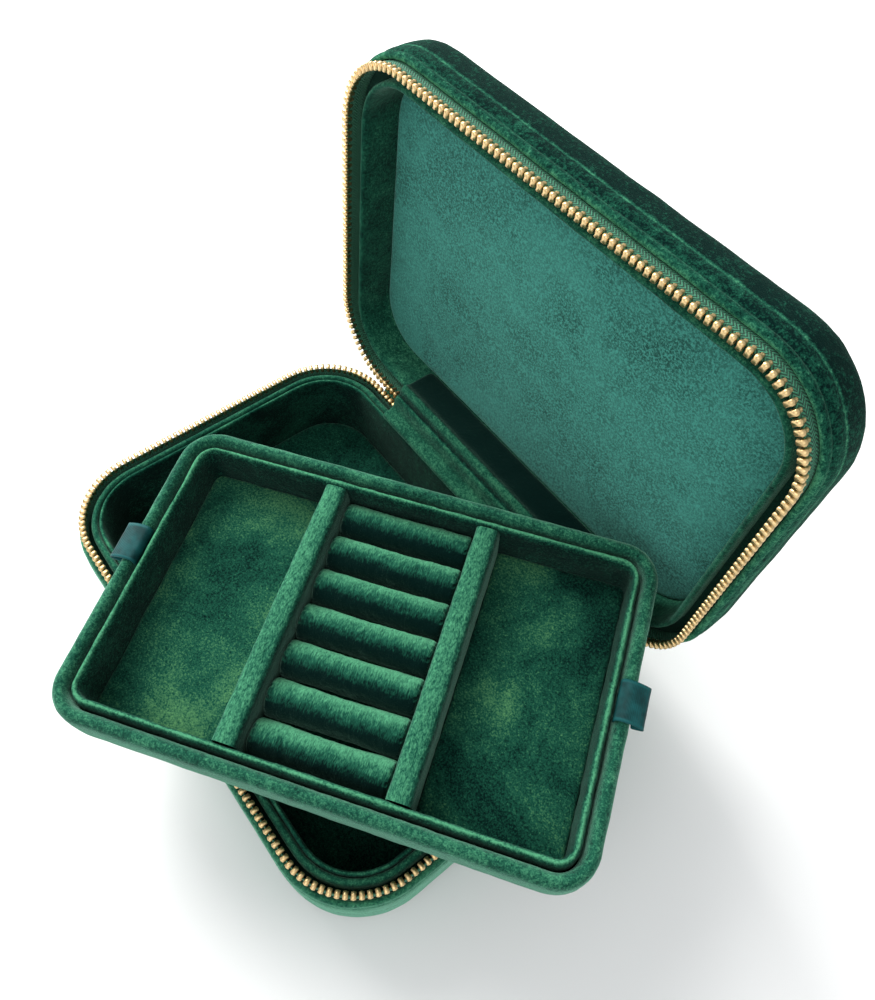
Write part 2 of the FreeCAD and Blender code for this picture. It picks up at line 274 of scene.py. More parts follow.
def finish_piece(piece, body, material, nodes):
    """Give a finished piece its material and its body, and hide the CAD nodes it stands for."""
    piece.data.materials.clear()
    piece.data.materials.append(material)
    smooth(piece)
    if body:
        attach(piece, body)
    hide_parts(*nodes)


def outline_distance(x, y, radius):
    """Length along the case's outline from the middle of the rear, anticlockwise."""
    quarter = math.pi / 2 * radius
    cx = CORNER_X
    cy = CORNER_Y
    if y >= cy and abs(x) <= cx:
        return -x if x <= 0 else 4 * (cx + cy + quarter) - x
    if x < -cx and y > cy:
        return cx + radius * (math.atan2(y - cy, x + cx) - math.pi / 2)
    if x < -cx and y >= -cy:
        return cx + quarter + cy - y
    if x < -cx:
        return cx + quarter + 2 * cy + radius * (math.atan2(y + cy, x + cx) + math.pi)
    if x <= cx:
        return 2 * cx + 2 * quarter + 2 * cy + x
    if y < -cy:
        return 3 * cx + 2 * quarter + 2 * cy + radius * (math.atan2(y + cy, x - cx) + math.pi / 2)
    if y <= cy:
        return 3 * cx + 3 * quarter + 3 * cy + y
    return 3 * cx + 3 * quarter + 4 * cy + radius * math.atan2(y - cy, x - cx)


def lay_outline_uv(piece):
    """Write a UV map in metres: along the case's outline, and up the wall."""
    layer = piece.data.uv_layers.new(name="weave")
    radius = CORNER_R - TEETH_INSET
    for loop in piece.data.loops:
        place_at = piece.data.vertices[loop.vertex_index].co
        along = outline_distance(place_at.x / MM, place_at.y / MM, radius) * MM
        layer.data[loop.index].uv = (along, place_at.z)


# ---- materials --------------------------------------------------------------------------
SHEEN_ROUGHNESS = 0.4
PILE_SCALE = 2300.0     # fibres per metre
YARN_PITCH = 0.95       # millimetres from yarn to yarn of the tape
CHEVRON_WIDTH = 1.25
RIB_PITCH = 0.35        # millimetres from rib to rib of the ribbon


def add_node(tree, kind, **settings):
    node = tree.nodes.new(kind)
    for key, value in settings.items():
        setattr(node, key, value)
    return node


def set_inputs(node, **values):
    for key, value in values.items():
        node.inputs[key.replace("_", " ")].default_value = value


def new_shader(name):
    """A material with one Principled shader joined to its output."""
    material = bpy.data.materials.new(name)
    material.use_nodes = True
    tree = material.node_tree
    tree.nodes.clear()
    output = add_node(tree, "ShaderNodeOutputMaterial")
    shader = add_node(tree, "ShaderNodeBsdfPrincipled")
    tree.links.new(shader.outputs["BSDF"], output.inputs["Surface"])
    return material, tree, shader


def pattern_place(tree, turn=0.0, stretch=(1, 1, 1)):
    """Object coordinates, turned, with marks that many times longer along each turned axis."""
    coords = add_node(tree, "ShaderNodeTexCoord")
    mapping = add_node(tree, "ShaderNodeMapping", vector_type="TEXTURE")
    mapping.inputs["Rotation"].default_value = (0, 0, turn)
    mapping.inputs["Scale"].default_value = stretch
    tree.links.new(coords.outputs["Object"], mapping.inputs["Vector"])
    return mapping.outputs["Vector"]


def noise(tree, vector, scale, detail, roughness=0.5, distortion=0.0):
    node = add_node(tree, "ShaderNodeTexNoise")
    set_inputs(node, Scale=scale, Detail=detail, Roughness=roughness, Distortion=distortion)
    tree.links.new(vector, node.inputs["Vector"])
    return node.outputs["Fac"]


def spread(tree, value, low, high):
    """Stretch a pattern so that low becomes 0 and high becomes 1."""
    node = add_node(tree, "ShaderNodeMapRange")
    set_inputs(node, From_Min=low, From_Max=high)
    tree.links.new(value, node.inputs["Value"])
    return node.outputs["Result"]


def blend_colours(tree, share, first, second):
    node = add_node(tree, "ShaderNodeMix", data_type="RGBA")
    tree.links.new(share, node.inputs["Factor"])
    for socket, colour in ((node.inputs[6], first), (node.inputs[7], second)):
        if isinstance(colour, bpy.types.NodeSocket):
            tree.links.new(colour, socket)
        else:
            socket.default_value = (*colour, 1)
    return node.outputs[2]


def bump(tree, height, distance, strength=1.0, normal=None):
    node = add_node(tree, "ShaderNodeBump")
    set_inputs(node, Strength=strength, Distance=distance * MM)
    tree.links.new(height, node.inputs["Height"])
    if normal is not None:
        tree.links.new(normal, node.inputs["Normal"])
    return node.outputs["Normal"]


def arithmetic(tree, operation, first, second=None):
    node = add_node(tree, "ShaderNodeMath", operation=operation)
    for socket, value in zip(node.inputs, (first, second)):
        if isinstance(value, bpy.types.NodeSocket):
            tree.links.new(value, socket)
        elif value is not None:
            socket.default_value = value
    return node.outputs["Value"]


def waves(tree, along, pitch):
    """Even ribs, from -1 to 1, with a pitch in millimetres."""
    return arithmetic(tree, "SINE", arithmetic(tree, "MULTIPLY", along, 2 * math.pi / (pitch * MM)))


def weigh(tree, total, pattern, gain, centre=0.5):
    """Add a pattern to a running tone: gain times its distance from its centre."""
    away = arithmetic(tree, "SUBTRACT", pattern, centre)
    return arithmetic(tree, "ADD", arithmetic(tree, "MULTIPLY", away, gain), total)


def ramp_colours(tree, tone, stops):
    node = add_node(tree, "ShaderNodeValToRGB")
    ramp = node.color_ramp
    while len(ramp.elements) < len(stops):
        ramp.elements.new(0.5)
    for element, (position, colour) in zip(ramp.elements, stops):
        element.position = position
    for element, (position, colour) in zip(ramp.elements, stops):
        element.color = (*colour, 1)
    tree.links.new(tone, node.inputs["Fac"])
    return node.outputs["Color"]


def facing(tree, direction):
    """How far the surface faces a direction, from -1, away, to 1, towards it."""
    coords = add_node(tree, "ShaderNodeTexCoord")
    dot = add_node(tree, "ShaderNodeVectorMath", operation="DOT_PRODUCT")
    dot.inputs[1].default_value = Vector(direction).normalized()
    tree.links.new(coords.outputs["Normal"], dot.inputs[0])
    return dot.outputs["Value"]


def shade_across(tree, across, start, end):
    """0 before start and 1 after end, in millimetres from the origin along a direction."""
    dot = add_node(tree, "ShaderNodeVectorMath", operation="DOT_PRODUCT")
    dot.inputs[1].default_value = across
    tree.links.new(pattern_place(tree), dot.inputs[0])
    return spread(tree, dot.outputs["Value"], start * MM, end * MM)


def finish_cloth(shader, roughness, specular, sheen, tint, sheen_roughness=SHEEN_ROUGHNESS):
    """Set a cloth shader's even values."""
    shader.inputs["Roughness"].default_value = roughness
    shader.inputs["Specular IOR Level"].default_value = specular
    shader.inputs["Sheen Weight"].default_value = sheen
    shader.inputs["Sheen Roughness"].default_value = sheen_roughness
    shader.inputs["Sheen Tint"].default_value = (*tint, 1)


def velvet(name, tone, painted_light_dir=None, painted_light_gain=0.4, patch=70.0, patch_gain=0.9, fleck=1000.0, fleck_gain=1.5,
           sheen=0.5, turn=0.0, stretch=(1, 1, 1), painted_bands=(), across=(0, 1, 0), bright=None):
    """Crushed velvet with painted light: random crushed patches and flecks, a painted highlight on faces
    that point towards the given direction and painted shade on faces that point away.

    The tone runs from 0, deep, to 1, bright, and each gain says how far its pattern moves it. Patches and
    flecks are given as marks per metre. A painted band of light or shade changes the tone from its start to
    its end, across the piece.
    """
    material, tree, shader = new_shader(name)
    vector = pattern_place(tree, turn, stretch)
    patches = noise(tree, vector, patch, 4, 0.62, 0.8)
    flecks = noise(tree, vector, fleck, 5, 0.8, 0.2)
    pile = noise(tree, vector, PILE_SCALE, 3, 0.7)
    mix = weigh(tree, tone, patches, patch_gain)
    mix = weigh(tree, mix, flecks, fleck_gain)
    mix = weigh(tree, mix, pile, 1.1)
    # painted light: tone raised on faces that point towards the given direction, lowered on faces that point
    # away
    if painted_light_dir:
        mix = weigh(tree, mix, facing(tree, painted_light_dir), painted_light_gain, 0.0)
    # painted bands of light and shade across the piece
    for start, end, change in painted_bands:
        mix = weigh(tree, mix, shade_across(tree, across, start, end), change, 0.0)
    # the deep end carries random dark patches and painted shade, the bright end random bright patches and
    # painted highlights
    stops = ((0.0, colours().velvet_deep_and_shade), (0.45, colours().velvet_body),
             (1.0, bright or colours().velvet_bright_and_highlight))
    tree.links.new(ramp_colours(tree, mix, stops), shader.inputs["Base Color"])
    normal = bump(tree, patches, 0.4)
    normal = bump(tree, flecks, 0.2, normal=normal)
    normal = bump(tree, pile, 0.12, normal=normal)
    tree.links.new(normal, shader.inputs["Normal"])
    finish_cloth(shader, 0.95, 0.02, sheen, (0.42, 0.85, 0.64))
    return material


def suede(name, deep, body, bright):
    """Short flat pile with a fine even grain and faint cloudy shading."""
    material, tree, shader = new_shader(name)
    vector = pattern_place(tree)
    clouds = noise(tree, vector, 46.0, 6, 0.68, 0.6)
    grain = noise(tree, vector, 1500.0, 4, 0.75)
    ground = blend_colours(tree, spread(tree, clouds, 0.32, 0.62), deep, body)
    colour = blend_colours(tree, spread(tree, grain, 0.43, 0.62), ground, bright)
    tree.links.new(colour, shader.inputs["Base Color"])
    normal = bump(tree, clouds, 0.5)
    normal = bump(tree, grain, 0.12, normal=normal)
    tree.links.new(normal, shader.inputs["Normal"])
    finish_cloth(shader, 0.95, 0.1, 0.45, (0.45, 0.85, 0.72))
    return material


def woven_tape(name, dark, light, middle):
    """Herringbone tape: slanted yarns that meet in a chevron about the middle line."""
    material, tree, shader = new_shader(name)
    coords = add_node(tree, "ShaderNodeUVMap", uv_map="weave")
    parts = add_node(tree, "ShaderNodeSeparateXYZ")
    tree.links.new(coords.outputs["UV"], parts.inputs["Vector"])
    height = arithmetic(tree, "SUBTRACT", parts.outputs["Y"], middle * MM)
    rise = arithmetic(tree, "PINGPONG", height, CHEVRON_WIDTH * MM)
    slant = arithmetic(tree, "ADD", parts.outputs["X"], rise)
    yarn = spread(tree, waves(tree, slant, YARN_PITCH), -0.8, 0.8)
    fuzz = noise(tree, pattern_place(tree), 1800.0, 3)
    shaded = arithmetic(tree, "MULTIPLY", yarn, spread(tree, fuzz, 0.2, 0.6))
    tree.links.new(blend_colours(tree, shaded, dark, light), shader.inputs["Base Color"])
    tree.links.new(bump(tree, shaded, 0.2), shader.inputs["Normal"])
    finish_cloth(shader, 0.7, 0.3, 0.25, (0.4, 0.85, 0.65), 0.5)
    return material


def satin(name, dark, light):
    """Narrow satin ribbon with fine ribs across it and tighter woven edges."""
    material, tree, shader = new_shader(name)
    coords = add_node(tree, "ShaderNodeUVMap", uv_map="weave")
    parts = add_node(tree, "ShaderNodeSeparateXYZ")
    tree.links.new(coords.outputs["UV"], parts.inputs["Vector"])
    ribs = waves(tree, parts.outputs["Y"], RIB_PITCH)
    edge = arithmetic(tree, "ABSOLUTE", parts.outputs["X"])
    border = spread(tree, edge, 4.9 * MM, 5.3 * MM)
    streaks = noise(tree, pattern_place(tree), 260.0, 3)
    ground = blend_colours(tree, spread(tree, streaks, 0.35, 0.7), dark, light)
    tree.links.new(blend_colours(tree, border, ground, light), shader.inputs["Base Color"])
    tree.links.new(bump(tree, ribs, 0.05, 0.6), shader.inputs["Normal"])
    shader.inputs["Roughness"].default_value = 0.5
    shader.inputs["Specular IOR Level"].default_value = 0.14
    return material


def polished_brass(name, colour, worn):
    """Light gold plate, a little duller where fingers and fabric rub it."""
    material, tree, shader = new_shader(name)
    vector = pattern_place(tree)
    rub = noise(tree, vector, 240.0, 4, 0.6)
    fine = noise(tree, vector, 1500.0, 2)
    tone = blend_colours(tree, spread(tree, rub, 0.35, 0.7), colour, worn)
    tree.links.new(tone, shader.inputs["Base Color"])
    tree.links.new(spread(tree, rub, -0.6, 2.2), shader.inputs["Roughness"])
    tree.links.new(bump(tree, fine, 0.03), shader.inputs["Normal"])
    shader.inputs["Metallic"].default_value = 1.0
    return material


# ---- settings -----------------------------------------------------------------------------
class CaseSizes(bpy.types.PropertyGroup):
    waviness: bpy.props.FloatProperty(
        name="Waviness", description="How far the padding pushes the velvet in and out",
        default=0.00035, min=0.0, max=0.001, subtype="DISTANCE", unit="LENGTH")
    wall_puff: bpy.props.FloatProperty(
        name="Wall puff", description="How far the padded walls bulge",
        default=0.0003, min=0.0, max=0.001, subtype="DISTANCE", unit="LENGTH")
    tooth_pitch: bpy.props.FloatProperty(
        name="Tooth pitch", description="Distance between two zip teeth",
        default=0.00223, min=0.002, max=0.003, subtype="DISTANCE", unit="LENGTH")
    tooth_width: bpy.props.FloatProperty(
        name="Tooth width", description="Width of a tooth along the zip",
        default=0.0018, min=0.001, max=0.002, subtype="DISTANCE", unit="LENGTH")
    floor_size: bpy.props.FloatProperty(
        name="Floor size", description="Side of the pale floor",
        default=6.0, min=1.0, max=20.0, subtype="DISTANCE", unit="LENGTH")


def colour_property(name, description, default):
    return bpy.props.FloatVectorProperty(
        name=name, description=description, default=default, subtype="COLOR", size=3, min=0.0, max=1.0)


class CaseColours(bpy.types.PropertyGroup):
    # dark end of the velvet: random dark patches and painted shade
    velvet_deep_and_shade: colour_property("Deep velvet", "Pile that leans away from light", (0.001, 0.0105, 0.0095))
    velvet_body: colour_property("Velvet", "The velvet's main colour", (0.010, 0.082, 0.050))
    # bright end of the velvet: random bright patches and painted highlights
    velvet_bright_and_highlight: colour_property("Bright velvet", "Tips and creases of the pile", (0.080, 0.31, 0.165))
    velvet_warm: colour_property("Warm velvet", "Tips of the pile on the tray's floor", (0.105, 0.29, 0.115))
    suede_body: colour_property("Suede", "Flat lining of the lid", (0.040, 0.196, 0.160))
    tape_light: colour_property("Zip tape", "The woven tape's yarns", (0.05, 0.27, 0.15))
    ribbon: colour_property("Ribbon", "Satin of the pull tabs", (0.003, 0.036, 0.037))
    brass: colour_property("Brass", "Zip teeth and slider", (0.80, 0.58, 0.29))
    floor: colour_property("Floor", "Pale floor", (0.9, 0.9, 0.9))


def sizes():
    return bpy.context.scene.case_sizes


def colours():
    return bpy.context.scene.case_colours


def scaled(values, factor):
    return tuple(value * factor for value in values)


# ---- case halves ----------------------------------------------------------------------------
WELT_DEPTH = 5.4
CREASE_SHARE = 0.42
PAD_SHARES = (0.86, 0.84, 0.8, 0.75, 0.65, 0.45)
FLOOR_PAD_DEPTH = 26.95


def half_section(points, up):
    """Turn (inset, depth under the meeting plane) into (y, z), above it for the lid."""
    return [(HALF_Y - inset, SEAM_Z + up * depth) for inset, depth in points]


def sweep_half(name, points, up):
    """A section of the base or the lid, carried all round the case's outline."""
    piece = draw_section(name, half_section(points, up))
    sweep_outline(0, 0, CORNER_X, CORNER_Y)
    tidy_faces(piece)
    return piece


def make_walls(name, up, face, edge):
    """Padded outer wall with its welted edge and its puffed face; edge scales the outer rounding."""
    puff = sizes().wall_puff / MM
    crease = WELT_DEPTH + (face - WELT_DEPTH) * CREASE_SHARE
    points = [(2.35, 10.5), (2.32, 7.2), (2.15, 6.0), (1.6, WELT_DEPTH), (0.9, WELT_DEPTH),
              (0.25, 5.95), (0.02, 6.8), (0.22, 7.65), (0.62, 8.05), (0.3, 8.5), (0.05 - puff, 9.6),
              (-puff, crease - 0.5), (0.16 - puff, crease), (-puff, crease + 0.5),
              (-puff, (crease + face) / 2), (0.05 - puff / 2, face - 5.6 * edge),
              (0.35 * edge, face - 3.4 * edge), (1.3 * edge, face - 1.5 * edge),
              (2.9 * edge, face - 0.4 * edge), (5.2 * edge, face)]
    piece = sweep_half(name, points, up)
    close_loop(piece, SEAM_Z + up * face, [3, 5, 6, 5], rise=up * 0.12)
    tidy_faces(piece)
    subdivide(piece)
    ruffle(piece, 11, sizes().waviness / MM)
    ruffle(piece, 3.0, sizes().waviness / MM * 0.5)
    return piece


class CASE_OT_base_walls(bpy.types.Operator):
    """Padded velvet tub of the base with its welted edge"""
    bl_idname = "case.base_walls"
    bl_label = "Base walls"

    def execute(self, context):
        piece = make_walls("base_walls", -1, BASE_DEPTH, 1.0)
        material = velvet("base wall velvet", 0.58, sheen=0.9, patch=110, patch_gain=0.5, fleck=900)
        finish_piece(piece, "base", material, ["base_shell", "base_piping"])
        return {"FINISHED"}


class CASE_OT_lid_walls(bpy.types.Operator):
    """Padded velvet shell of the lid with its welted edge"""
    bl_idname = "case.lid_walls"
    bl_label = "Lid walls"

    def execute(self, context):
        piece = make_walls("lid_walls", 1, LID_DEPTH, 0.55)
        place(piece, SEAT_LID)
        outward = SEAT_LID.to_3x3() @ Vector(UP)
        seam = HINGE.dot(outward) / MM
        # painted light bands across the outer wall: painted shade past the welt, a painted highlight along
        # the crease, painted shade on the flat band, a painted highlight on the rounded outer edge, and the
        # tone lowered again on the back face
        welt = (7.8, 8.3, -0.14)
        painted_crease_highlight = (11.6, 12.1, 0.36)
        painted_shade_band = (12.4, 13.1, -0.53)
        painted_edge_highlight = (20.0, 21.2, 0.32)
        back = (21.5, 22.0, -0.22)
        painted_bands = [(seam + start, seam + end, change)
                 for start, end, change in (welt, painted_crease_highlight, painted_shade_band, painted_edge_highlight, back)]
        # painted light: faces that point down are painted brighter and faces that point up darker
        material = velvet("lid wall velvet", 0.66, painted_light_dir=(-0.35, 0, -0.94), painted_light_gain=0.42, sheen=0.1,
                          patch=100, patch_gain=0.85, fleck=850, fleck_gain=2.0, painted_bands=painted_bands, across=outward)
        finish_piece(piece, "lid", material, ["lid_shell", "lid_piping"])
        return {"FINISHED"}


class CASE_OT_base_liners(bpy.types.Operator):
    """The base's two rounded velvet lips, its cavity lining and its floor pad"""
    bl_idname = "case.base_liners"
    bl_label = "Base liners"

    def execute(self, context):
        # painted light: the lips' upward faces are painted brighter and their downward faces darker
        lip_velvet = velvet("lip velvet", 0.28, painted_light_dir=(0, -0.2, 1), painted_light_gain=0.22, sheen=0.32, patch=140,
                            patch_gain=0.7)
        outer = [(4.95, 16), (4.9, 6), (4.95, 3.6), (5.2, 2.7), (5.75, 2.2), (6.4, 2.1), (7.0, 2.5),
                 (7.3, 3.3), (7.38, 5), (7.4, 16)]
        piece = sweep_half("base_lip", outer, -1)
        subdivide(piece)
        ruffle(piece, 6, 0.3)
        finish_piece(piece, "base", lip_velvet, ["base_liner_outer"])

        inner = [(7.45, 12), (7.5, 4.2), (7.6, 3.0), (7.95, 2.35), (8.45, 2.25), (8.9, 2.7), (9.1, 3.7),
                 (9.15, 8), (9.2, 16), (9.15, 22), (9.1, 28), (9.1, 29.9)]
        piece = sweep_half("base_cavity_lining", inner, -1)
        subdivide(piece)
        ruffle(piece, 7, 0.3)
        # painted shade: the cavity lining has a low tone, darker on its walls than on faces that point up
        lining = velvet("cavity velvet", 0.08, painted_light_dir=UP, painted_light_gain=0.45, sheen=0.14, patch=42, patch_gain=1.5)
        finish_piece(piece, "base", lining, ["base_liner_inner"])

        pad = [(10.4, 29.9), (9.4, 29.2), (9.25, 28.4), (9.6, 27.5), (10.6, 27.05), (12.5, FLOOR_PAD_DEPTH)]
        piece = sweep_half("base_floor_pad_velvet", pad, -1)
        close_loop(piece, SEAM_Z - FLOOR_PAD_DEPTH, [3, 4, 4], PAD_SHARES)
        tidy_faces(piece)
        subdivide(piece)
        ruffle(piece, 14, 0.5)
        floor_velvet = velvet("cavity floor velvet", 0.22, sheen=0.25, patch=60)
        finish_piece(piece, "base", floor_velvet, ["base_floor_pad"])
        return {"FINISHED"}


class CASE_OT_lid_lining(bpy.types.Operator):
    """The lid's velvet lip and its flat suede panel"""
    bl_idname = "case.lid_lining"
    bl_label = "Lid lining"

    def execute(self, context):
        lip = [(6.95, 12), (7.0, 5.2), (7.1, 4.1), (7.5, 3.35), (8.1, 3.15), (8.7, 3.5), (9.0, 4.4),
               (9.1, 6), (9.15, 9), (9.1, 13), (9.1, 17)]
        piece = sweep_half("lid_lip", lip, 1)
        subdivide(piece)
        ruffle(piece, 6, 0.3)
        place(piece, SEAT_LID)
        finish_piece(piece, "lid", bpy.data.materials["lip velvet"], ["lid_liner"])

        deep = LID_LINING_DEPTH
        face = deep - 0.05
        panel = [(9.6, deep + 1.9), (9.35, deep + 1.0), (9.5, deep + 0.35), (10.3, deep + 0.05),
                 (12.5, face)]
        piece = sweep_half("lid_suede_panel", panel, 1)
        close_loop(piece, SEAM_Z + face, [4, 4, 3], PAD_SHARES)
        tidy_faces(piece)
        subdivide(piece)
        ruffle(piece, 30, 0.3)
        place(piece, SEAT_LID)
        body = colours().suede_body
        cloth = suede("lid suede", scaled(body, 0.28), scaled(body, 0.85), scaled(body, 1.55))
        finish_piece(piece, "lid", cloth, ["lid_lining_panel"])
        return {"FINISHED"}


# ---- zip ------------------------------------------------------------------------------------
TAPE_MIDDLE = 4.0
TOOTH_LENGTH = 2.5
HEAD_HEIGHT = 1.75
ROUNDED_SIZE = 1.22   # how large a 1 mm cube is once it is partly rounded


def make_tape(name, up, end_x):
    """Woven tape that stands from behind the wall to between the teeth."""
    points = [(2.42, 8.0), (2.35, 5.5), (2.3, 3.6), (2.5, 1.75), (2.9, 1.75), (3.05, 3.6), (3.0, 5.5),
              (3.1, 8.0), (2.42, 8.0)]
    piece = draw_section(name, half_section(points, up), -ZIP_END_X)
    sweep_outline(-ZIP_END_X, end_x, CORNER_X, CORNER_Y)
    tidy_faces(piece)
    subdivide(piece)
    lay_outline_uv(piece)
    return piece


class CASE_OT_zip_tapes(bpy.types.Operator):
    """Herringbone tape of the base and of the lid"""
    bl_idname = "case.zip_tapes"
    bl_label = "Zip tapes"

    def execute(self, context):
        light = colours().tape_light
        dark = scaled(light, 0.1)
        base_weave = woven_tape("base tape weave", dark, light, SEAM_Z - TAPE_MIDDLE)
        lid_weave = woven_tape("lid tape weave", dark, light, SEAM_Z + TAPE_MIDDLE)
        piece = make_tape("base_tape", -1, ZIP_END_X)
        finish_piece(piece, "base", base_weave, ["base_zip_tape"])
        piece = make_tape("lid_tape", 1, CORNER_X)
        place(piece, SEAT_LID)
        finish_piece(piece, "lid", lid_weave, ["lid_zip_tape"])
        return {"FINISHED"}


def model_tooth():
    """One tooth with its tip at the origin: a round head with a waist, and a foot that grips the tape."""
    clear_selection()
    bpy.ops.mesh.primitive_cube_add(size=MM)
    tooth = bpy.context.object
    tooth.name = "zip_tooth"
    bpy.ops.object.mode_set(mode="EDIT")
    bpy.ops.mesh.select_all(action="SELECT")
    bpy.ops.mesh.subdivide(number_cuts=1)
    bpy.ops.transform.tosphere(value=0.55)
    width = sizes().tooth_width / MM
    bpy.ops.transform.resize(value=scaled((width, TOOTH_LENGTH, HEAD_HEIGHT), 1 / ROUNDED_SIZE))
    bpy.ops.transform.translate(value=(0, 0, -1.02 * MM))
    bpy.ops.object.mode_set(mode="OBJECT")
    select_where(tooth, lambda at: abs(at.y) < NEAR * MM)
    bpy.ops.transform.resize(value=(0.82, 1, 0.8))
    bpy.ops.object.mode_set(mode="OBJECT")
    select_where(tooth, lambda at: at.z < -1.5 * MM)
    bpy.ops.mesh.select_mode(type="FACE")
    for drop, size in ((0.4, (0.75, 0.8, 0.3)), (0.45, (1.0, 1.15, 1)), (0.4, (0.7, 0.85, 1))):
        bpy.ops.mesh.extrude_region_move(TRANSFORM_OT_translate={"value": (0, 0, -drop * MM)})
        bpy.ops.transform.resize(value=size)
    bpy.ops.object.mode_set(mode="OBJECT")
    return tooth


def place_on_row(distance):
    """Point and heading on the tooth row, from the left rear end of the zip."""
    radius = CORNER_R - TEETH_INSET
    quarter = math.pi / 2 * radius
    cx = CORNER_X
    cy = CORNER_Y
    legs = [cx - ZIP_END_X, 2 * cy, 2 * cx, 2 * cy, cx - ZIP_END_X]
    starts = [(-ZIP_END_X, cy + radius), (-cx - radius, cy), (-cx, -cy - radius), (cx + radius, -cy),
              (cx, cy + radius)]
    centres = [(-cx, cy), (-cx, -cy), (cx, -cy), (cx, cy)]
    for index, leg in enumerate(legs):
        heading = math.pi + math.pi / 2 * index
        if distance <= leg or index == 4:
            x, y = starts[index]
            return x + distance * math.cos(heading), y + distance * math.sin(heading), heading
        distance -= leg
        if distance <= quarter:
            turned = distance / radius
            angle = heading - math.pi / 2 + turned
            x, y = centres[index]
            return x + radius * math.cos(angle), y + radius * math.sin(angle), heading + turned
        distance -= quarter


def row_length(end_x):
    """Length of the tooth row from the left rear end of the zip to end_x at the right rear."""
    radius = CORNER_R - TEETH_INSET
    return 4 * CORNER_Y + 2 * CORNER_X + 2 * math.pi * radius + 2 * CORNER_X - ZIP_END_X - end_x


def make_teeth(name, tooth, up, end_x):
    """Copies of the tooth, evenly spaced along one half's row."""
    pitch = sizes().tooth_pitch / MM
    copies = []
    for index in range(int(row_length(end_x) / pitch)):
        x, y, heading = place_on_row((index + 0.5) * pitch)
        where = Matrix.Translation(Vector((x, y, SEAM_Z)) * MM) @ Matrix.Rotation(heading, 4, "Z")
        if up > 0:
            where = where @ Matrix.Rotation(math.pi, 4, "X")
        copies.append(copy_piece(tooth, name, where))
    return join_pieces(copies, name)


class CASE_OT_zip_teeth(bpy.types.Operator):
    """Both rows of brass teeth, and brass for the stops, the slider and the pull"""
    bl_idname = "case.zip_teeth"
    bl_label = "Zip teeth, stops and slider"

    def execute(self, context):
        brass = polished_brass("polished brass", colours().brass, scaled(colours().brass, 0.82))
        tooth = model_tooth()
        row = make_teeth("base_teeth", tooth, -1, ZIP_END_X)
        finish_piece(row, "base", brass, ["base_zip_teeth"])
        row = make_teeth("lid_teeth", tooth, 1, CORNER_X)
        place(row, SEAT_LID)
        finish_piece(row, "lid", brass, ["lid_zip_teeth"])
        bpy.data.objects.remove(tooth)
        for name in ("base_zip_stops", "lid_zip_stop", "zip_slider", "zip_pull_tab"):
            finish_node(name, brass)
        return {"FINISHED"}


def finish_node(name, material):
    """Give a carried-over CAD node a material of its own."""
    node = frame["nodes"][name]
    node.data.materials.clear()
    node.data.materials.append(material)


# ---- hinge ----------------------------------------------------------------------------------
def draw_bar(name, path, half_length, steps):
    """A section at -half_length, carried along the X axis to half_length in even steps."""
    piece = draw_section(name, path, -half_length)
    for _ in range(steps):
        bpy.ops.mesh.extrude_region_move(
            TRANSFORM_OT_translate={"value": (2 * half_length / steps * MM, 0, 0)})
    return piece


def make_strip(name, path, half_length, thickness):
    """Cloth strip along the hinge: its middle surface is drawn, then given its thickness."""
    piece = draw_bar(name, path, half_length, STRIP_STEPS)
    tidy_faces(piece)
    subdivide(piece)
    ruffle(piece, 9, 0.35)
    thicken(piece, thickness)
    subdivide(piece)
    return piece


class CASE_OT_hinge_cloth(bpy.types.Operator):
    """Velvet spine outside the hinge and the lining inside it"""
    bl_idname = "case.hinge_cloth"
    bl_label = "Hinge cloth"

    def execute(self, context):
        spine = [(60.9, 25.0), (60.95, 28.0), (61.0, 30.4), (61.5, 31.8), (62.6, 32.7), (64.2, 33.1),
                 (66.5, 33.2), (69.0, 33.2)]
        piece = make_strip("hinge_spine_cloth", spine, 59.0, 0.4)
        finish_piece(piece, None, bpy.data.materials["base wall velvet"], ["hinge_spine"])
        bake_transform(piece)

        lining = [(53.3, 31.4), (53.5, 32.7), (54.5, 33.4), (55.9, 33.5), (57.2, 33.6), (58.1, 34.6),
                  (58.7, 36.6), (59.2, 38.4), (59.9, 39.3), (60.7, 38.8), (61.2, 39.5), (61.6, 41.2),
                  (62.3, 42.4), (63.3, 42.7), (64.2, 42.3), (65.4, 41.6), (68.2, 41.5), (71.6, 41.5),
                  (76.2, 41.5)]
        piece = make_strip("hinge_lining_cloth", lining, ZIP_END_X, 0.7)
        # painted light bands on the hinge lining: painted shade in the crease, a painted highlight on the
        # ridge after it and a painted shadow over the panel beyond; faces that point up and to the front are
        # also painted brighter
        crease = (59.8, 60.4, -0.45)
        ridge = (60.9, 61.5, 0.45)
        painted_shadow_panel = (63.4, 64.6, -0.75)
        painted_bands = (crease, ridge, painted_shadow_panel)
        cloth = velvet("hinge velvet", 0.3, painted_light_dir=(0, -0.45, 0.9), painted_light_gain=0.22, sheen=0.4, patch=80,
                       painted_bands=painted_bands)
        finish_piece(piece, None, cloth, ["hinge_lining"])
        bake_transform(piece)
        return {"FINISHED"}


# ---- tray -----------------------------------------------------------------------------------
DIVIDER_X = 25
ROLL_FLOOR = 5.4    # height of the rolls' underside
RIBBON_WIDTH = 12.0
RIBBON_THICKNESS = 0.28
SIM_SCALE = 20      # cloth simulation runs on a piece made this many times larger
SIM_STEPS = 20


def sweep_tray(name, points):
    """A section of (inset, height) points, carried all round the tray's outline."""
    piece = draw_section(name, [(TRAY_Y - inset, z) for inset, z in points])
    sweep_outline(0, 0, TRAY_X - TRAY_R, TRAY_Y - TRAY_R, TRAY_STEP)
    tidy_faces(piece)
    return piece


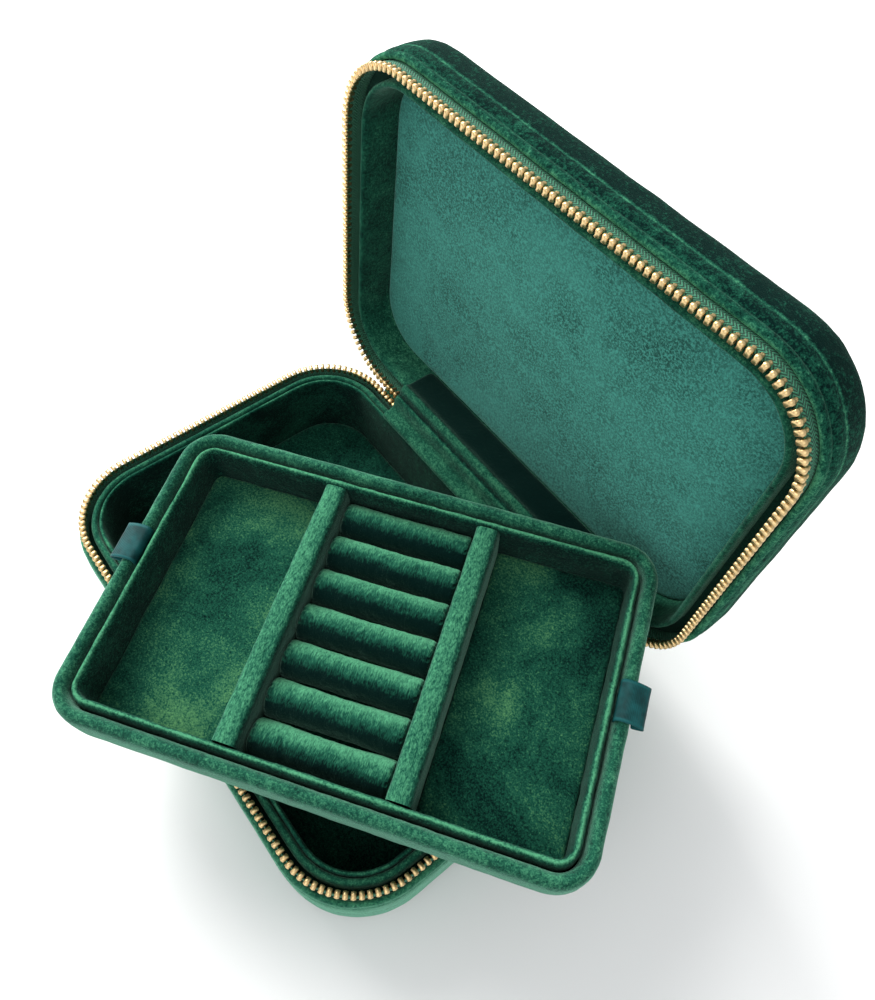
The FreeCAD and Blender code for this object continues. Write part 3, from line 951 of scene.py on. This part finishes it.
class CASE_OT_tray_walls(bpy.types.Operator):
    """The tray's padded outer tub and its thin inner wall"""
    bl_idname = "case.tray_walls"
    bl_label = "Tray walls"

    def execute(self, context):
        shell = [(4.5, 12), (4.4, 16.8), (4.15, 18.9), (3.55, 20.4), (2.65, 21.2), (1.65, 21.2),
                 (0.65, 20.6), (0.05, 19.5), (-0.15, 17.8), (-0.3, 14), (-0.25, 8.5), (0.0, 5.2),
                 (0.6, 2.7), (2.0, 0.9), (4.2, 0.1), (6.0, 0.0)]
        piece = sweep_tray("tray_tub", shell)
        close_loop(piece, 0.0, [2, 1.5], (0.85, 0.8, 0.72, 0.6, 0.4))
        tidy_faces(piece)
        subdivide(piece)
        ruffle(piece, 9, sizes().waviness / MM)
        ruffle(piece, 2.6, sizes().waviness / MM * 0.6)
        place(piece, SEAT_TRAY)
        # painted light: faces that point up are painted a little brighter
        rim = velvet("tray rim velvet", 0.37, painted_light_dir=UP, painted_light_gain=0.12, sheen=0.7, patch=80, patch_gain=0.9,
                     fleck_gain=1.8)
        finish_piece(piece, "tray", rim, ["tray_shell"])

        liner = [(4.75, 8), (4.85, 16), (5.2, 18.6), (5.6, 19.9), (6.15, 20.5), (6.8, 20.3),
                 (7.25, 19.4), (7.5, 17.8), (7.6, 14), (7.6, 9), (7.55, 4.6)]
        piece = sweep_tray("tray_inner_wall", liner)
        subdivide(piece)
        ruffle(piece, 7, 0.55)
        ruffle(piece, 2.4, 0.4)
        place(piece, SEAT_TRAY)
        # painted light: a low tone with upward faces painted much brighter, a painted highlight on the
        # ridge's top and painted shade on its sides
        ridge = velvet("tray ridge velvet", 0.02, painted_light_dir=UP, painted_light_gain=0.85, sheen=0.15, patch=150,
                       patch_gain=0.8, fleck=1300, fleck_gain=2.2)
        finish_piece(piece, "tray", ridge, ["tray_inner_liner"])
        return {"FINISHED"}


class CASE_OT_dividers(bpy.types.Operator):
    """Two padded bars across the tray"""
    bl_idname = "case.dividers"
    bl_label = "Dividers"

    def execute(self, context):
        half = 3.75
        section = [(-half, 4), (-half - 0.05, 11), (-half, 17.3), (-3.45, 18.95), (-2.6, 19.85),
                   (-0.9, 20.05), (0.9, 20.05), (2.6, 19.85), (3.45, 18.95), (half, 17.3),
                   (half + 0.05, 11), (half, 4)]
        bar = draw_bar("divider_bar", section, 41.9, 24)
        tidy_faces(bar)
        subdivide(bar)
        # painted light: a low tone, with faces that point mostly up painted brighter and the bars' sides
        # painted shade
        pile = velvet("divider velvet", 0.08, painted_light_dir=(-0.3, -0.2, 0.93), painted_light_gain=0.56, sheen=0.4, patch=110,
                      patch_gain=0.5, fleck=1100, fleck_gain=1.9, turn=TRAY_YAW, stretch=(0.7, 1.8, 1))
        for name, x in (("divider_left", -DIVIDER_X), ("divider_right", DIVIDER_X)):
            turn = Matrix.Translation((x * MM, 0, 0)) @ Matrix.Rotation(math.pi / 2, 4, "Z")
            piece = copy_piece(bar, name + "_velvet", turn)
            ruffle(piece, 5, 0.45)
            place(piece, SEAT_TRAY)
            finish_piece(piece, "tray", pile, [name])
        bpy.data.objects.remove(bar)
        return {"FINISHED"}


def puff(piece, voxel, pressure, cap):
    """Blow the piece up like a stuffed cover by cloth simulation; no point moves further than cap."""
    remesh = piece.modifiers.new("even", "REMESH")
    remesh.mode = "VOXEL"
    remesh.voxel_size = voxel * MM
    apply_modifier(piece, remesh)
    start = [vertex.co.copy() for vertex in piece.data.vertices]
    piece.data.transform(Matrix.Scale(SIM_SCALE, 4))
    cloth = piece.modifiers.new("cover", "CLOTH")
    cloth.settings.use_pressure = True
    cloth.settings.uniform_pressure_force = pressure
    cloth.settings.quality = 5
    cloth.settings.effector_weights.gravity = 0
    scene = bpy.context.scene
    for step in range(1, SIM_STEPS + 1):
        scene.frame_set(step)
    apply_modifier(piece, cloth)
    scene.frame_set(1)
    piece.data.transform(Matrix.Scale(1 / SIM_SCALE, 4))
    for vertex, before in zip(piece.data.vertices, start):
        move = vertex.co - before
        if move.length > cap * MM:
            vertex.co = before + move.normalized() * cap * MM
    subdivide(piece)


class CASE_OT_ring_rolls(bpy.types.Operator):
    """Seven soft rolls that hold rings between them"""
    bl_idname = "case.ring_rolls"
    bl_label = "Ring rolls"

    def execute(self, context):
        section = [(-5.3, 0.6), (-5.75, 3.0), (-5.6, 5.6), (-4.6, 7.8), (-2.9, 9.3), (-1.0, 9.95),
                   (1.0, 9.95), (2.9, 9.3), (4.6, 7.8), (5.6, 5.6), (5.75, 3.0), (5.3, 0.6),
                   (-5.3, 0.6)]
        half_length = 20.6
        roll = draw_bar("roll", section, half_length, 12)
        for end in (-half_length, half_length):
            select_where(roll, lambda at, end=end: abs(at.x - end * MM) < NEAR * MM)
            bpy.ops.mesh.edge_face_add()
            bpy.ops.object.mode_set(mode="OBJECT")
        tidy_faces(roll)
        puff(roll, voxel=0.55, pressure=4, cap=0.45)
        # painted light: a low tone, with the rolls' back and upper faces painted bright and their front
        # sides painted shade
        pile = velvet("roll velvet", -0.16, painted_light_dir=ROLL_PAINTED_LIGHT_DIR, painted_light_gain=1.0, sheen=0.35, patch=170,
                      patch_gain=0.4, fleck=1300, turn=TRAY_YAW, stretch=(0.6, 2.8, 2.0))
        for index in range(ROLL_COUNT):
            y = ((ROLL_COUNT - 1) / 2 - index) * ROLL_PITCH
            name = "ring_roll_" + str(index + 1)
            piece = copy_piece(roll, name + "_velvet", Matrix.Translation((0, y * MM, ROLL_FLOOR * MM)))
            ruffle(piece, 4.5, 0.5)
            place(piece, SEAT_TRAY)
            finish_piece(piece, "tray", pile, [name])
        bpy.data.objects.remove(roll)
        return {"FINISHED"}


class CASE_OT_tray_floors(bpy.types.Operator):
    """Velvet pads on the tray's floor"""
    bl_idname = "case.tray_floors"
    bl_label = "Tray floors"

    def execute(self, context):
        floor = velvet("tray floor velvet", 0.42, sheen=0.22, patch=30, patch_gain=1.8, fleck=1400,
                       fleck_gain=1.7, bright=colours().velvet_warm)
        pads = (("tray_floor_left", -70.7, -28.6), ("tray_floor_right", 28.6, 70.7),
                ("ring_bed_pad", -21.4, 21.4))
        width = 85.0
        thickness = 1.5
        height = 4.55
        for name, x0, x1 in pads:
            clear_selection()
            bpy.ops.mesh.primitive_cube_add(size=1, location=((x0 + x1) / 2 * MM, 0, height * MM),
                                            scale=((x1 - x0) * MM, width * MM, thickness * MM))
            pad = bpy.context.object
            pad.name = name + "_velvet"
            pad.data.name = name + "_velvet"
            bpy.ops.object.transform_apply(location=True, rotation=True, scale=True)
            bpy.ops.object.mode_set(mode="EDIT")
            bpy.ops.mesh.select_all(action="SELECT")
            bpy.ops.mesh.bevel(offset=0.6 * MM, segments=2, affect="EDGES")
            bpy.ops.object.mode_set(mode="OBJECT")
            puff(pad, voxel=0.7, pressure=1.5, cap=0.3)
            ruffle(pad, 9, 0.5)
            place(pad, SEAT_TRAY)
            finish_piece(pad, "tray", floor, [name])
        return {"FINISHED"}


class CASE_OT_ribbon_tabs(bpy.types.Operator):
    """Folded satin tabs that lift the tray"""
    bl_idname = "case.ribbon_tabs"
    bl_label = "Ribbon tabs"

    def execute(self, context):
        ribbon = colours().ribbon
        cloth = satin("ribbon satin", ribbon, scaled(ribbon, 2.4))
        start = TRAY_X - 4.4
        edge = TRAY_X
        path = [(start, 18.2), (start, 19.7), (start + 0.25, 20.9), (start + 1.0, 21.6),
                (edge - 2.0, 21.75), (edge - 0.6, 21.6), (edge + 1.2, 21.0), (edge + 3.0, 20.1),
                (edge + 3.8, 19.5), (edge + 3.75, 18.8), (edge + 3.0, 18.4), (edge + 1.6, 18.1),
                (edge + 0.45, 17.9)]
        for name, side, y in (("ribbon_tab_left", -1, 4.5), ("ribbon_tab_right", 1, 1.5)):
            piece = draw_bar(name + "_satin", path, RIBBON_WIDTH / 2, 8)
            tidy_faces(piece)
            layer = piece.data.uv_layers.new(name="weave")
            for loop in piece.data.loops:
                at = piece.data.vertices[loop.vertex_index].co
                layer.data[loop.index].uv = (at.x, at.y + at.z)
            subdivide(piece)
            ruffle(piece, 5, 0.25)
            thicken(piece, RIBBON_THICKNESS)
            turn = Matrix.Translation((0, y * MM, 0)) @ Matrix.Rotation(-side * math.pi / 2, 4, "Z")
            place(piece, SEAT_TRAY @ turn)
            finish_piece(piece, "tray", cloth, [name])
        return {"FINISHED"}


class CASE_OT_boards(bpy.types.Operator):
    """Finish of the stiffening boards inside the walls"""
    bl_idname = "case.boards"
    bl_label = "Boards"

    def execute(self, context):
        lining = suede("board lining", (0.001, 0.012, 0.008), (0.002, 0.022, 0.014), (0.004, 0.04, 0.025))
        for name in ("base_floor_board", "base_wall_board", "lid_top_board", "lid_wall_board",
                     "tray_bottom_board"):
            finish_node(name, lining)
        return {"FINISHED"}


# ---- stage ----------------------------------------------------------------------------------
FLOOR_Z = -0.0006
LIGHT_TARGET = (0, 0.01, 0.04)
SKY_STRENGTH = 0.66


def add_light(name, location, size, power, colour):
    """Square soft light that faces the case."""
    clear_selection()
    bpy.ops.object.light_add(type="AREA", location=location)
    light = bpy.context.object
    light.name = name
    light.data.size = size
    light.data.energy = power
    light.data.color = colour
    direction = Vector(LIGHT_TARGET) - Vector(location)
    light.rotation_euler = direction.to_track_quat("-Z", "Y").to_euler()


class CASE_OT_stage(bpy.types.Operator):
    """Pale floor, soft light and camera"""
    bl_idname = "case.stage"
    bl_label = "Stage"

    def execute(self, context):
        clear_selection()
        bpy.ops.mesh.primitive_plane_add(size=sizes().floor_size, location=(0, 0, FLOOR_Z))
        floor = bpy.context.object
        floor.name = "pale_floor"
        material, tree, shader = new_shader("pale floor")
        grain = noise(tree, pattern_place(tree), 6.0, 3)
        tone = colours().floor
        tree.links.new(blend_colours(tree, spread(tree, grain, 0.3, 0.7), tone, scaled(tone, 0.985)),
                       shader.inputs["Base Color"])
        shader.inputs["Roughness"].default_value = 0.9
        floor.data.materials.append(material)

        world = bpy.data.worlds.new("studio")
        bpy.context.scene.world = world
        world.use_nodes = True
        sky = world.node_tree.nodes["Background"]
        sky.inputs["Color"].default_value = (0.97, 0.99, 1.0, 1)
        sky.inputs["Strength"].default_value = SKY_STRENGTH
        add_light("key_light", (-0.95, 0.12, 0.75), 0.8, 25, (1, 0.99, 0.97))
        add_light("fill_light", (0.5, -0.8, 0.9), 1.2, 6, (0.97, 0.99, 1))

        clear_selection()
        bpy.ops.object.camera_add(location=CAMERA_AT)
        camera = bpy.context.object
        camera.rotation_euler = [math.radians(angle) for angle in CAMERA_TURN]
        camera.data.lens = CAMERA_LENS
        camera.data.sensor_width = 36
        camera.data.clip_start = 0.01
        camera.data.clip_end = 20
        bpy.context.scene.camera = camera
        bpy.context.scene.view_settings.view_transform = "Standard"
        return {"FINISHED"}


class CASE_PT_panel(bpy.types.Panel):
    bl_idname = "CASE_PT_panel"
    bl_label = "Jewelry case"
    bl_space_type = "VIEW_3D"
    bl_region_type = "UI"
    bl_category = "Jewelry Case"

    def draw(self, context):
        layout = self.layout
        for group in (context.scene.case_sizes, context.scene.case_colours):
            box = layout.box()
            for key in group.__annotations__:
                box.prop(group, key)
        for operator in OPERATORS:
            layout.operator(operator.bl_idname)


OPERATORS = (
    CASE_OT_stage, CASE_OT_boards, CASE_OT_base_walls, CASE_OT_base_liners, CASE_OT_lid_walls,
    CASE_OT_lid_lining, CASE_OT_zip_tapes, CASE_OT_zip_teeth, CASE_OT_hinge_cloth, CASE_OT_tray_walls,
    CASE_OT_dividers, CASE_OT_ring_rolls, CASE_OT_tray_floors, CASE_OT_ribbon_tabs)
CLASSES = (CaseSizes, CaseColours, *OPERATORS, CASE_PT_panel)


def register():
    for item in CLASSES:
        bpy.utils.register_class(item)
    bpy.types.Scene.case_sizes = bpy.props.PointerProperty(type=CaseSizes)
    bpy.types.Scene.case_colours = bpy.props.PointerProperty(type=CaseColours)


def unregister():
    del bpy.types.Scene.case_colours
    del bpy.types.Scene.case_sizes
    for item in reversed(CLASSES):
        bpy.utils.unregister_class(item)


def main():
    register()
    for operator in OPERATORS:
        group, name = operator.bl_idname.split(".")
        getattr(getattr(bpy.ops, group), name)()
    clear_selection()


if __name__ == "__main__":
    main()
